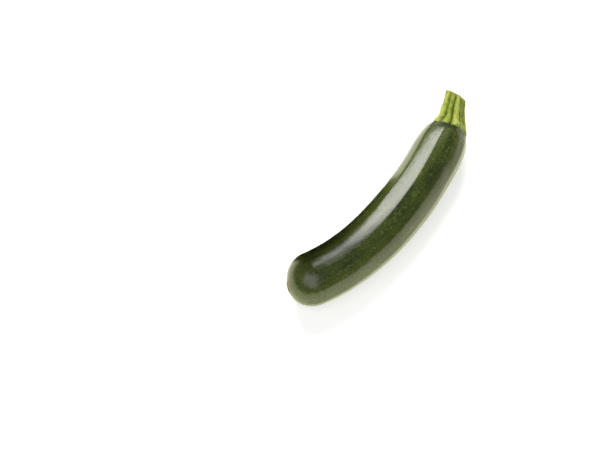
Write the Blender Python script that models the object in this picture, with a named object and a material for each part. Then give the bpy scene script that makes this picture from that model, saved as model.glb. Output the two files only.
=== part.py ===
"""A courgette as picked: one curved fruit lying on its side, and the cut stem that it hung from.

Metres, +Z up. The fruit lies along +X, from its blossom end to its stem, and bends to the left as it
goes, seen from above. It rests on a narrow flat along its underside. The origin is in the middle of
the object's bounding box, on the surface that it lies on.
"""

import math

import bmesh
import bpy
from mathutils import Matrix, Vector

# Fruit. Distances run along its curved centreline, from the blossom tip.
FRUIT_LENGTH = 0.185
BELLY_RADIUS = 0.0203
BELLY_DISTANCE = 0.100
BLOSSOM_RADIUS = 0.0199
BLOSSOM_CAP_LENGTH = 0.0195
TIP_RADIUS = 0.0013
NECK_RADIUS = 0.0196
SHOULDER_LENGTH = 0.027
JOINT_RADIUS = 0.0130

# The bend to the left: strongest at the blossom end, and once more just before the joint.
FRUIT_BEND = math.radians(90.0)
STRAIGHTENING = math.radians(48.0)
NECK_HOOK = math.radians(10.0)
HOOK_POWER = 10.0

# How the fruit lies: the flat that it rests on is REST_DEPTH deep, and both ends curve up off it.
REST_DEPTH = 0.0006
NECK_LIFT = 0.007
NECK_LIFT_LENGTH = 0.080
BLOSSOM_LIFT = 0.0015
BLOSSOM_LIFT_LENGTH = 0.050

# Ridges: as many main ones as the flower has lobes, and a small one between each two. They start at
# the joint at RIDGE_TURN, and wind round the fruit by RIDGE_TWIST in each metre towards its tip.
RIDGE_COUNT = 5
RIDGE_HEIGHT = 0.00015
SMALL_RIDGE_HEIGHT = 0.00025
RIDGE_TURN = math.radians(29.5)
RIDGE_TWIST = math.radians(157.0)

# Stem, from the joint to the cut. It has as many main ribs as the fruit has main ridges, and it
# flares towards its foot, which overhangs the joint.
JOINT_GAP = 0.0003
STEM_LENGTH = 0.0268
FOOT_OVERHANG = 0.001
STEM_FOOT_RADIUS = JOINT_RADIUS + FOOT_OVERHANG
STEM_TOP_RADIUS = 0.0086
STEM_FLARE_POWER = 1.7
STEM_BEND_LENGTH = 0.012
STEM_TURN = math.radians(8.0)
STEM_RISE = math.radians(12.0)
RIB_TURN = math.radians(23.0)
RIB_HEIGHT = 0.0011
SMALL_RIB_SHARE = 0.6
RIB_SHARPNESS = 1.6
CUT_SLANT = math.radians(18.0)
CUT_SPARE = 0.004

# Mesh fineness, which changes no size.
FRUIT_SIDES = 70
TRUNK_RINGS = 30
CAP_RINGS = 9
STEM_SIDES = 80
STEM_RINGS = 10
SHARP_EDGE = math.radians(40.0)

SKIN_COLOUR = (0.041, 0.057, 0.013, 1.0)
SKIN_ROUGHNESS = 0.28
STEM_COLOUR = (0.25, 0.32, 0.045, 1.0)
STEM_ROUGHNESS = 0.55


def clear_scene():
    """Removes every object of the scene that the script starts in."""
    for thing in list(bpy.data.objects):
        bpy.data.objects.remove(thing)


def ease(share):
    """0 to 1 with level ends, for a share that may lie outside that range."""
    share = min(max(share, 0.0), 1.0)
    return share * share * (3.0 - 2.0 * share)


def mixed(first, second, share):
    """The value at a share of the way from the first to the second."""
    return first + (second - first) * share


def heading(distance):
    """The direction of the centreline seen from above, turning left from the blossom tip."""
    share = max(distance / FRUIT_LENGTH, 0.0)
    return FRUIT_BEND * share - STRAIGHTENING * share**2 + NECK_HOOK * share**HOOK_POWER


def trunk_radius(distance):
    """The fruit's radius without its rounded ends: blossom end, belly, neck."""
    if distance < BELLY_DISTANCE:
        span = BELLY_DISTANCE - BLOSSOM_CAP_LENGTH
        return mixed(BLOSSOM_RADIUS, BELLY_RADIUS, ease((distance - BLOSSOM_CAP_LENGTH) / span))
    span = FRUIT_LENGTH - SHOULDER_LENGTH - BELLY_DISTANCE
    return mixed(BELLY_RADIUS, NECK_RADIUS, ease((distance - BELLY_DISTANCE) / span))


def fruit_radius(distance):
    """The fruit's radius: its trunk, closed by a round blossom end and a round shoulder."""
    radius = trunk_radius(distance)
    if distance < BLOSSOM_CAP_LENGTH:
        inward = 1.0 - distance / BLOSSOM_CAP_LENGTH
        return mixed(TIP_RADIUS, radius, math.sqrt(max(1.0 - inward**2, 0.0)))
    from_joint = FRUIT_LENGTH - distance
    if from_joint < SHOULDER_LENGTH:
        inward = 1.0 - from_joint / SHOULDER_LENGTH
        return mixed(JOINT_RADIUS, radius, math.sqrt(max(1.0 - inward**2, 0.0)))
    return radius


def centre_height(distance):
    """The centreline's height: level over the flat, and higher towards both ends."""
    neck = max(distance - FRUIT_LENGTH + NECK_LIFT_LENGTH, 0.0) / NECK_LIFT_LENGTH
    blossom = max(BLOSSOM_LIFT_LENGTH - distance, 0.0) / BLOSSOM_LIFT_LENGTH
    lift = NECK_LIFT * neck**2 + BLOSSOM_LIFT * blossom**2
    return trunk_radius(distance) - REST_DEPTH + lift


def frame_at(position, direction):
    """A matrix at a point of the centreline: X along it, Y to its left and Z up."""
    along = direction.normalized()
    left = Vector((0.0, 0.0, 1.0)).cross(along).normalized()
    upward = along.cross(left)
    turned = Matrix((along, left, upward)).transposed().to_4x4()
    return Matrix.Translation(position) @ turned


def fruit_distances():
    """The rings' distances: close together at both ends, where the fruit rounds off."""
    shoulder_start = FRUIT_LENGTH - SHOULDER_LENGTH
    quarter = [math.sin(0.5 * math.pi * i / CAP_RINGS) for i in range(CAP_RINGS + 1)]
    blossom = [BLOSSOM_CAP_LENGTH * (1.0 - q) for q in reversed(quarter)]
    trunk_step = (shoulder_start - BLOSSOM_CAP_LENGTH) / TRUNK_RINGS
    trunk = [BLOSSOM_CAP_LENGTH + trunk_step * i for i in range(1, TRUNK_RINGS)]
    shoulder = [shoulder_start + SHOULDER_LENGTH * q for q in quarter]
    return blossom + trunk + shoulder


def fruit_frames(distances):
    """The frame of each ring, walked along the centreline from the blossom tip."""
    frames = []
    x = y = 0.0
    last = 0.0
    step = FRUIT_LENGTH / 1000.0
    for distance in distances:
        middle = heading(0.5 * (last + distance))
        x += (distance - last) * math.cos(middle)
        y += (distance - last) * math.sin(middle)
        last = distance
        slope = (centre_height(distance + step) - centre_height(distance - step)) / (2.0 * step)
        turn = heading(distance)
        direction = Vector((math.cos(turn), math.sin(turn), slope))
        frames.append(frame_at(Vector((x, y, centre_height(distance))), direction))
    return frames


def ridge_height(angle, distance):
    """How far the skin stands out at an angle round the fruit, 0 at the top."""
    start = RIDGE_TURN + RIDGE_TWIST * (FRUIT_LENGTH - distance)
    turn = RIDGE_COUNT * (angle - start)
    near_tip = ease(distance / BLOSSOM_CAP_LENGTH)
    return (RIDGE_HEIGHT * math.cos(turn) + SMALL_RIDGE_HEIGHT * math.cos(2.0 * turn)) * near_tip


def rib_height(angle):
    """How far the stem's ribs stand out: main ones near the fruit's ridges, and small ones between."""
    turn = 0.5 * RIDGE_COUNT * (angle - RIB_TURN)
    main = abs(math.cos(turn)) ** (2.0 * RIB_SHARPNESS)
    small = abs(math.sin(turn)) ** (2.0 * RIB_SHARPNESS)
    return RIB_HEIGHT * (main + SMALL_RIB_SHARE * small)


def ring_points(frame, sides, radius_at):
    """The points of one ring, turning about the frame's X axis from its top."""
    points = []
    for i in range(sides):
        angle = 2.0 * math.pi * i / sides
        radius = radius_at(angle)
        points.append(frame @ Vector((0.0, -radius * math.sin(angle), radius * math.cos(angle))))
    return points


def fruit_ring(distance, frame):
    """One ring of the fruit, with its ridges."""
    radius = fruit_radius(distance)
    return ring_points(frame, FRUIT_SIDES, lambda angle: radius + ridge_height(angle, distance))


def stem_ring(distance, frame):
    """One ring of the stem, with its ribs, at a distance from its foot."""
    flare = max(1.0 - distance / STEM_LENGTH, 0.0) ** STEM_FLARE_POWER
    core = mixed(STEM_TOP_RADIUS, STEM_FOOT_RADIUS, flare) - RIB_HEIGHT
    return ring_points(frame, STEM_SIDES, lambda angle: core + rib_height(angle))


def loft(rings):
    """A closed shape bridged through rings of equally many points, with a flat end at both ends."""
    shape = bmesh.new()
    loops = []
    for ring in rings:
        points = [shape.verts.new(point) for point in ring]
        loops.append([shape.edges.new(pair) for pair in zip(points, points[1:] + points[:1])])
    for near, far in zip(loops, loops[1:]):
        bmesh.ops.bridge_loops(shape, edges=near + far)
    for end in (loops[0], loops[-1]):
        bmesh.ops.edgeloop_fill(shape, edges=end)
    return shape


def slice_off(shape, point, outward):
    """Cuts off what lies beyond a plane, and closes the cut with one flat face."""
    whole = shape.verts[:] + shape.edges[:] + shape.faces[:]
    bmesh.ops.bisect_plane(shape, geom=whole, plane_co=point, plane_no=outward, clear_outer=True)
    rim = [edge for edge in shape.edges if edge.is_boundary]
    bmesh.ops.edgeloop_fill(shape, edges=rim)


def finished_mesh(name, shape):
    """Turns a closed shape's faces outwards, and makes a mesh of it."""
    bmesh.ops.recalc_face_normals(shape, faces=shape.faces)
    mesh = bpy.data.meshes.new(name)
    shape.to_mesh(mesh)
    shape.free()
    return mesh


def make_material(name, colour, roughness):
    """A plain surface of one colour and roughness."""
    material = bpy.data.materials.new(name)
    material.use_nodes = True
    shader = material.node_tree.nodes["Principled BSDF"]
    shader.inputs["Base Color"].default_value = colour
    shader.inputs["Roughness"].default_value = roughness
    material.diffuse_color = colour
    return material


def add_piece(name, mesh, material, parent):
    """Puts a finished mesh in the scene, with its material, on the object's own empty."""
    mesh.materials.append(material)
    mesh.shade_smooth()
    mesh.set_sharp_from_angle(angle=SHARP_EDGE)
    piece = bpy.data.objects.new(name, mesh)
    piece.parent = parent
    bpy.context.scene.collection.objects.link(piece)
    return piece


def make_fruit():
    """The fruit, with the flat that it rests on, and the frame of its stem joint."""
    distances = fruit_distances()
    frames = fruit_frames(distances)
    shape = loft([fruit_ring(distance, frame) for distance, frame in zip(distances, frames)])
    slice_off(shape, Vector((0.0, 0.0, 0.0)), Vector((0.0, 0.0, -1.0)))
    return finished_mesh("fruit", shape), frames[-1]


def stem_frames(joint, distances):
    """The frame of each of the stem's rings, walked from the joint as the stem leans left and up."""
    frames = []
    position = joint @ Vector((JOINT_GAP, 0.0, 0.0))
    last = 0.0
    for distance in distances:
        bent = ease(distance / STEM_BEND_LENGTH)
        turn = Matrix.Rotation(STEM_TURN * bent, 3, "Z") @ Matrix.Rotation(-STEM_RISE * bent, 3, "Y")
        direction = joint.to_3x3() @ turn @ Vector((1.0, 0.0, 0.0))
        position = position + direction * (distance - last)
        last = distance
        frames.append(frame_at(position, direction))
    return frames


def make_stem(joint):
    """The stem: a tapering, ribbed stub on the joint, cut off at a slant."""
    distances = [STEM_LENGTH * i / STEM_RINGS for i in range(STEM_RINGS + 1)]
    distances.append(STEM_LENGTH + CUT_SPARE)
    frames = stem_frames(joint, distances)
    shape = loft([stem_ring(distance, frame) for distance, frame in zip(distances, frames)])
    cut = frames[STEM_RINGS]
    outward = cut.to_3x3() @ Matrix.Rotation(-CUT_SLANT, 3, "Z") @ Vector((1.0, 0.0, 0.0))
    slice_off(shape, cut.translation, outward)
    return finished_mesh("stem", shape)


def settle(parent, pieces):
    """Puts the origin on the resting surface, under the middle of the object's bounding box."""
    bpy.context.view_layer.update()
    corners = [piece.matrix_world @ vertex.co for piece in pieces for vertex in piece.data.vertices]
    low = Vector(min(corner[i] for corner in corners) for i in range(3))
    high = Vector(max(corner[i] for corner in corners) for i in range(3))
    parent.location -= Vector(((low.x + high.x) / 2.0, (low.y + high.y) / 2.0, low.z))


def main():
    """Builds the fruit and its stem on one empty."""
    clear_scene()
    courgette = bpy.data.objects.new("courgette", None)
    bpy.context.scene.collection.objects.link(courgette)
    fruit_mesh, joint = make_fruit()
    chord = joint.translation
    courgette.rotation_euler.z = -math.atan2(chord.y, chord.x)
    skin = make_material("courgette_skin", SKIN_COLOUR, SKIN_ROUGHNESS)
    green = make_material("stem_green", STEM_COLOUR, STEM_ROUGHNESS)
    pieces = [
        add_piece("fruit", fruit_mesh, skin, courgette),
        add_piece("stem", make_stem(joint), green, courgette),
    ]
    settle(courgette, pieces)


main()
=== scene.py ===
"""The looks of a courgette that lies on its side: a glossy, flecked fruit and its ribbed, cut stem.

Metres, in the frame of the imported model: the fruit lies along +X, bends to the left as it goes, and
rests on the floor at Z = 0. Both forms are rings swept along a bent centreline by Geometry Nodes.
Their sizes repeat the model's own, and their place comes from the frame.
"""

from __future__ import annotations

import logging
import math
from dataclasses import dataclass, field
from enum import Enum
from typing import Iterable, Sequence, Union

import bpy
import numpy as np
from mathutils import Matrix, Quaternion, Vector


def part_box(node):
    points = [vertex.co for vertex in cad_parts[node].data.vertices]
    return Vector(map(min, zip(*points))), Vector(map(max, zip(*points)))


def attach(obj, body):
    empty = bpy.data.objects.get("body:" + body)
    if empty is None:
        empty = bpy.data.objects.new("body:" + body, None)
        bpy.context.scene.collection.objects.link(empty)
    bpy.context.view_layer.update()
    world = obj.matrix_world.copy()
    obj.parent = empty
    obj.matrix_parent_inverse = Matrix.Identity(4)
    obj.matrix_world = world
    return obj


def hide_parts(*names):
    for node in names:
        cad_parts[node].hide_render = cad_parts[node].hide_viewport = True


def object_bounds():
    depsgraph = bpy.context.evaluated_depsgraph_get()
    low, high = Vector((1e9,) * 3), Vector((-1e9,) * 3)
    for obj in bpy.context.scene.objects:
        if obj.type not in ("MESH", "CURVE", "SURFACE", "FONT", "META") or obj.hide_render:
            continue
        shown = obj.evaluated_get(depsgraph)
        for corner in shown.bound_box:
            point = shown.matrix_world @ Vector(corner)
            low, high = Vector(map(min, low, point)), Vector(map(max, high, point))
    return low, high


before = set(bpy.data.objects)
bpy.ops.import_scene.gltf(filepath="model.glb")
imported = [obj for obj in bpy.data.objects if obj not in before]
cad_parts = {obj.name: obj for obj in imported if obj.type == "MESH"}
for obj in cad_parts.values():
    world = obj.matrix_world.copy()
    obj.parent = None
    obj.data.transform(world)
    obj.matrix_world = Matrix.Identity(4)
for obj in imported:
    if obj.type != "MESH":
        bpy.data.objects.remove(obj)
cad_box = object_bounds()

ROOT_BODY = "root"
# The mean radius of a ten-sided polygon as a share of its corners' radius.
FACET_MEAN = 0.967
UP = (0.0, 0.0, 1.0)
MM = 0.001

log = logging.getLogger("courgette")

Colour = tuple[float, float, float, float]
Node = bpy.types.Node
Socket = bpy.types.NodeSocket
Thing = bpy.types.Object
Value = Union[float, int, str, tuple, Socket, bpy.types.Material]
Takes = dict[Union[str, int], Value]


class Slot(Enum):
    """The material slots."""

    SKIN = "skin"
    STEM = "stem"


class TreeKind(Enum):
    """What a node group works on."""

    SHAPE = "GeometryNodeTree"
    SHADER = "ShaderNodeTree"


class PortKind(Enum):
    """The kinds of socket that this object's node groups have."""

    NUMBER = "NodeSocketFloat"
    COUNT = "NodeSocketInt"
    PLACE = "NodeSocketVector"
    SHAPE = "NodeSocketGeometry"
    MATERIAL = "NodeSocketMaterial"

    @classmethod
    def of(cls, value: Value) -> PortKind:
        """Returns the kind of socket that a number, a count or a material needs."""
        if isinstance(value, bpy.types.Material):
            return cls.MATERIAL
        return cls.COUNT if isinstance(value, int) else cls.NUMBER


class Field(Enum):
    """The values that a swept form keeps at each of its points, by attribute name."""

    DISTANCE = "distance"
    RADIUS = "radius"
    TURN = "turn"
    RIM = "rim"
    ALONG = "along"
    OUTWARD = "outward"
    PLACE = "grown_place"
    RIB = "rib"
    CUT = "cut_face"

    @property
    def data_type(self) -> str:
        """The type that attribute nodes need for it."""
        vectors = (Field.ALONG, Field.OUTWARD, Field.PLACE)
        return "FLOAT_VECTOR" if self in vectors else "FLOAT"


# ---- Node trees ----


@dataclass(frozen=True)
class Port:
    """A named socket on the outside of a node group."""

    name: str
    kind: PortKind = PortKind.NUMBER
    default: Value | None = None

    def add_to(self, tree: bpy.types.NodeTree, way: str) -> None:
        """Adds the socket to a group.

        Args:
            tree: The group.
            way: INPUT or OUTPUT.
        """
        socket = tree.interface.new_socket(name=self.name, in_out=way, socket_type=self.kind.value)
        if self.default is not None:
            socket.default_value = self.default


class Graph:
    """A node tree under construction, with short ways to add the nodes that this object uses."""

    def __init__(self, tree: bpy.types.NodeTree) -> None:
        """Starts on a tree that exists.

        Args:
            tree: The tree that nodes are added to.
        """
        self.tree = tree
        self.entry: Node | None = None
        self.exit: Node | None = None

    @classmethod
    def group(cls, kind: TreeKind, name: str, takes: Iterable[Port], gives: Iterable[Port]) -> Graph:
        """Starts a new node group.

        Args:
            kind: Whether it works on shapes or in materials.
            name: The group's name.
            takes: Its inputs.
            gives: Its outputs.

        Returns:
            The graph of the new group.
        """
        tree = bpy.data.node_groups.new(name, kind.value)
        for port in takes:
            port.add_to(tree, "INPUT")
        for port in gives:
            port.add_to(tree, "OUTPUT")
        graph = cls(tree)
        graph.entry = graph.add("NodeGroupInput")
        graph.exit = graph.add("NodeGroupOutput")
        return graph

    def given(self, name: str) -> Socket:
        """Returns the group input of that name."""
        return self.entry.outputs[name]

    def give(self, name: str, value: Value) -> None:
        """Puts a value on the group output of that name."""
        self.put(self.exit.inputs[name], value)

    def put(self, socket: Socket, value: Value) -> None:
        """Links a socket to another, or sets it to a constant.

        Args:
            socket: The input socket.
            value: An output socket, or a constant.
        """
        if isinstance(value, Socket):
            self.tree.links.new(value, socket)
        else:
            socket.default_value = value

    def add(self, kind: str, takes: Takes | None = None, **settings: object) -> Node:
        """Adds a node.

        Args:
            kind: The node's Blender type.
            takes: What goes into its inputs, by name or by number.
            settings: The node's own properties.

        Returns:
            The node.
        """
        node = self.tree.nodes.new(kind)
        for name, setting in settings.items():
            setattr(node, name, setting)
        for key, value in (takes or {}).items():
            self.put(node.inputs[key], value)
        return node

    def use(self, group: Graph, takes: Takes) -> Node:
        """Places another group in this one.

        Args:
            group: The group to place.
            takes: What goes into its inputs.

        Returns:
            The group's node here.
        """
        kind = self.tree.bl_idname.replace("NodeTree", "NodeGroup")
        return self.add(kind, takes, node_tree=group.tree)

    def maths(self, operation: str, *values: Value, clamp: bool = False) -> Socket:
        """Works out one number.

        Args:
            operation: The Math node's operation.
            values: Its operands.
            clamp: Whether the result is kept between 0 and 1.

        Returns:
            The result.
        """
        node = self.add("ShaderNodeMath", dict(enumerate(values)), operation=operation, use_clamp=clamp)
        return node.outputs[0]

    def product(self, first: Value, *others: Value) -> Socket:
        """Returns the product of numbers."""
        for other in others:
            first = self.maths("MULTIPLY", first, other)
        return first

    def total(self, first: Value, *others: Value) -> Socket:
        """Returns the sum of numbers."""
        for other in others:
            first = self.maths("ADD", first, other)
        return first

    def vector(self, operation: str, *values: Value) -> Socket:
        """Works out one vector.

        Args:
            operation: The Vector Math node's operation. SCALE takes its number second.
            values: Its operands.

        Returns:
            The result, which is a number for LENGTH and DOT_PRODUCT.
        """
        node = self.add("ShaderNodeVectorMath", operation=operation)
        keys = (0, "Scale") if operation == "SCALE" else range(len(values))
        for key, value in zip(keys, values):
            self.put(node.inputs[key], value)
        return node.outputs["Value" if operation in ("LENGTH", "DOT_PRODUCT") else "Vector"]

    def parts(self, vector: Value) -> bpy.types.bpy_prop_collection:
        """Returns the X, Y and Z of a vector, as a node's outputs."""
        return self.add("ShaderNodeSeparateXYZ", {0: vector}).outputs

    def joined(self, x: Value, y: Value, z: Value) -> Socket:
        """Returns a vector made of three numbers."""
        return self.add("ShaderNodeCombineXYZ", {0: x, 1: y, 2: z}).outputs[0]

    def ramp(self, value: Value, start: Value, end: Value, low: Value = 0.0, high: Value = 1.0) -> Socket:
        """Eases from one number to another while a value crosses a range.

        Args:
            value: The value.
            start: Where in the range it still is low.
            end: Where it has become high, which may lie below start.
            low: The result at start.
            high: The result at end.

        Returns:
            The eased number.
        """
        takes = {"Value": value, "From Min": start, "From Max": end, "To Min": low, "To Max": high}
        return self.add("ShaderNodeMapRange", takes, interpolation_type="SMOOTHSTEP").outputs[0]

    def noise(self, place: Value, scale: Value, detail: float = 2.0, roughness: float = 0.5) -> Socket:
        """Returns soft noise around 0.5 at a place."""
        takes = {"Vector": place, "Scale": scale, "Detail": detail, "Roughness": roughness}
        return self.add("ShaderNodeTexNoise", takes).outputs[0]

    def signed_noise(self, place: Value, scale: Value, detail: float = 2.0) -> Socket:
        """Returns soft noise around 0, about 1 high."""
        return self.maths("MULTIPLY_ADD", self.noise(place, scale, detail), 2.0, -1.0)

    def mixed(self, share: Value, first: Value, second: Value) -> Socket:
        """Mixes two colours.

        Args:
            share: How much of the second, from 0 to 1.
            first: The first colour.
            second: The second colour.

        Returns:
            The mixed colour.
        """
        takes = {0: share, 6: first, 7: second}
        node = self.add("ShaderNodeMix", takes, data_type="RGBA", clamp_factor=True)
        return node.outputs[2]


class ShapeGraph(Graph):
    """A Geometry Nodes tree under construction."""

    @classmethod
    def maker(cls, name: str, base: str, sizes: dict[str, Value]) -> ShapeGraph:
        """Starts the tree that makes a piece, with an input for its base and one for each size.

        Args:
            name: The tree's name.
            base: The name of the input that takes the base mesh.
            sizes: The tree's other inputs, whose values say what kind of socket they need.

        Returns:
            The tree's graph.
        """
        takes = [Port(base, PortKind.SHAPE)]
        takes += [Port(size, PortKind.of(value)) for size, value in sizes.items()]
        return cls.group(TreeKind.SHAPE, name, takes, (Port("Shape", PortKind.SHAPE),))

    def kept(self, which: Field) -> Socket:
        """Returns what a form keeps at its points."""
        node = self.add("GeometryNodeInputNamedAttribute", {"Name": which.value}, data_type=which.data_type)
        return node.outputs["Attribute"]

    def keep(self, shape: Value, which: Field, value: Value) -> Socket:
        """Keeps a value at a form's points.

        Args:
            shape: The form.
            which: What the value is.
            value: The value.

        Returns:
            The form with the value.
        """
        takes = {"Geometry": shape, "Name": which.value, "Value": value}
        node = self.add("GeometryNodeStoreNamedAttribute", takes, data_type=which.data_type, domain="POINT")
        return node.outputs["Geometry"]

    def moved(self, shape: Value, offset: Value) -> Socket:
        """Returns the form with its points moved by an offset."""
        return self.add("GeometryNodeSetPosition", {"Geometry": shape, "Offset": offset}).outputs[0]

    def placed(self, shape: Value, position: Value) -> Socket:
        """Returns the form with its points put at a position."""
        return self.add("GeometryNodeSetPosition", {"Geometry": shape, "Position": position}).outputs[0]

    def finish(self, shape: Value) -> None:
        """Ends the tree: real geometry, shaded smooth, of the material that the tree is given."""
        whole = self.add("GeometryNodeRealizeInstances", {"Geometry": shape}).outputs["Geometry"]
        smooth = self.add("GeometryNodeSetShadeSmooth", {"Geometry": whole}).outputs["Geometry"]
        takes = {"Geometry": smooth, "Material": self.given("Material")}
        self.give("Shape", self.add("GeometryNodeSetMaterial", takes).outputs["Geometry"])


def in_scene(name: str, data: bpy.types.ID) -> Thing:
    """Returns a new object of some data, linked to the scene."""
    thing = bpy.data.objects.new(name, data)
    bpy.context.scene.collection.objects.link(thing)
    return thing


def shaped(name: str, base: bpy.types.Mesh, graph: Graph, sizes: dict[str, Value]) -> Thing:
    """Runs a tree on a mesh, and makes a plain object at the origin of what comes out.

    Args:
        name: The new object's name.
        base: The mesh that the tree starts from.
        graph: The tree.
        sizes: The tree's inputs, by name.

    Returns:
        The object, with no modifier.
    """
    maker = in_scene(f"{name}_maker", base)
    modifier = maker.modifiers.new(name, "NODES")
    modifier.node_group = graph.tree
    for item in graph.tree.interface.items_tree:
        if item.name in sizes and item.in_out == "INPUT":
            modifier[item.identifier] = sizes[item.name]
    depsgraph = bpy.context.evaluated_depsgraph_get()
    evaluated = maker.evaluated_get(depsgraph)
    mesh = bpy.data.meshes.new_from_object(evaluated, preserve_all_data_layers=True, depsgraph=depsgraph)
    maker.modifiers.remove(modifier)
    bpy.data.objects.remove(maker)
    mesh.name = name
    return in_scene(name, mesh)


# ---- Centrelines and the rings round them ----


def eased(share: np.ndarray) -> np.ndarray:
    """Returns 0 to 1 with level ends, for shares that may lie outside that range."""
    share = np.clip(share, 0.0, 1.0)
    return share * share * (3.0 - 2.0 * share)


def blended(first: Value, second: Value, share: np.ndarray) -> np.ndarray:
    """Returns the values at a share of the way from the first to the second."""
    return first + (second - first) * share


def axes_at(along: np.ndarray) -> np.ndarray:
    """Works out how rings stand.

    Args:
        along: The centreline's direction at each ring, a row each.

    Returns:
        For each ring, a matrix with the columns along, left and upward.
    """
    along = along / np.linalg.norm(along, axis=1, keepdims=True)
    left = np.cross(np.array(UP), along)
    left /= np.linalg.norm(left, axis=1, keepdims=True)
    return np.stack((along, left, np.cross(along, left)), axis=2)


@dataclass
class Spine:
    """A centreline with the radius that its form has at each point."""

    distances: np.ndarray
    centres: np.ndarray
    alongs: np.ndarray
    radii: np.ndarray

    def box(self) -> tuple[np.ndarray, np.ndarray]:
        """Returns the lowest and the highest corner of the plain rings."""
        axes = axes_at(self.alongs)
        reach = self.radii[:, None] * np.sqrt(np.clip(1.0 - axes[:, :, 0] ** 2, 0.0, 1.0))
        return (self.centres - reach).min(axis=0), (self.centres + reach).max(axis=0)

    def placed(self, turn: Matrix, shift: np.ndarray) -> Spine:
        """Returns the centreline turned about Z and then shifted."""
        turned = np.array(turn)
        return Spine(self.distances, self.centres @ turned.T + shift, self.alongs @ turned.T, self.radii)

    def line_mesh(self, name: str) -> bpy.types.Mesh:
        """Makes a mesh of the centreline, which keeps each point's distance, radius and direction.

        Args:
            name: The mesh's name.

        Returns:
            The mesh, which has one edge between each two points.
        """
        count = len(self.distances)
        mesh = bpy.data.meshes.new(name)
        mesh.from_pydata(self.centres.tolist(), [(i, i + 1) for i in range(count - 1)], [])
        for which, values in ((Field.DISTANCE, self.distances), (Field.RADIUS, self.radii)):
            layer = mesh.attributes.new(which.value, "FLOAT", "POINT")
            layer.data.foreach_set("value", values.astype(np.float32))
        along = mesh.attributes.new(Field.ALONG.value, "FLOAT_VECTOR", "POINT")
        along.data.foreach_set("vector", self.alongs.astype(np.float32).ravel())
        return mesh


def swept_rings() -> ShapeGraph:
    """Builds the group that puts a closed tube of rings round a centreline.

    It starts from a cylinder with one row of points for each point of the centreline, and its flat
    ends are made of rings too. Turn is 0 at a ring's top and grows towards its right.

    Returns:
        The group's graph.
    """
    takes = (
        Port("Spine", PortKind.SHAPE),
        Port("Sides", PortKind.COUNT, 64),
        Port("Rings", PortKind.COUNT, 64),
        Port("End Rings", PortKind.COUNT, 2),
    )
    graph = ShapeGraph.group(TreeKind.SHAPE, "swept_rings", takes, (Port("Shape", PortKind.SHAPE),))
    rows = graph.maths("SUBTRACT", graph.given("Rings"), 1.0)
    sizes = {
        "Vertices": graph.given("Sides"),
        "Side Segments": rows,
        "Fill Segments": graph.given("End Rings"),
        "Radius": 1.0,
        "Depth": 1.0,
    }
    tube = graph.add("GeometryNodeMeshCylinder", sizes, fill_type="TRIANGLE_FAN").outputs["Mesh"]
    across, upward, lengthwise = graph.parts(graph.add("GeometryNodeInputPosition").outputs[0])
    row = graph.maths("ROUND", graph.product(graph.total(lengthwise, 0.5), rows))

    def sampled(value: Value, data_type: str) -> Socket:
        """Returns a value of the centreline at the point's row."""
        looked_up = {"Geometry": graph.given("Spine"), "Value": value, "Index": row}
        node = graph.add("GeometryNodeSampleIndex", looked_up, data_type=data_type, domain="POINT")
        return node.outputs["Value"]

    carried = (Field.DISTANCE, Field.RADIUS, Field.ALONG)
    kept = {which: sampled(graph.kept(which), which.data_type) for which in carried}
    centre = sampled(graph.add("GeometryNodeInputPosition").outputs[0], "FLOAT_VECTOR")
    left = graph.vector("NORMALIZE", graph.vector("CROSS_PRODUCT", UP, kept[Field.ALONG]))
    above = graph.vector("CROSS_PRODUCT", kept[Field.ALONG], left)
    sideways = graph.vector("SCALE", left, across)
    kept[Field.OUTWARD] = graph.vector("ADD", sideways, graph.vector("SCALE", above, upward))
    kept[Field.TURN] = graph.maths("ARCTAN2", graph.product(across, -1.0), upward)
    kept[Field.RIM] = graph.vector("LENGTH", graph.joined(across, upward, 0.0))
    side, top = (graph.product(kept[Field.RADIUS], reach) for reach in (across, upward))
    kept[Field.PLACE] = graph.joined(kept[Field.DISTANCE], side, top)
    for which, value in kept.items():
        tube = graph.keep(tube, which, value)
    reach = graph.vector("SCALE", kept[Field.OUTWARD], kept[Field.RADIUS])
    graph.give("Shape", graph.placed(tube, graph.vector("ADD", centre, reach)))
    return graph


# ---- Shader groups that the finishes share ----


@dataclass(frozen=True)
class Streaks:
    """Soft streaks that run with the growth.

    Lengthwise and crosswise are how many pass in a metre each way, share is how much of the surface
    they cover, and strength how much of their colour they bring.
    """

    lengthwise: float
    crosswise: float
    share: float
    strength: float = 1.0
    softness: float = 0.15


@dataclass(frozen=True)
class Specks:
    """Scattered round specks.

    Across is how many fit in a metre, stretch how much longer they are than wide, share which part of
    them is there, and size their radius as a share of their spacing.
    """

    across: float
    stretch: float
    share: float
    size: float


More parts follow.
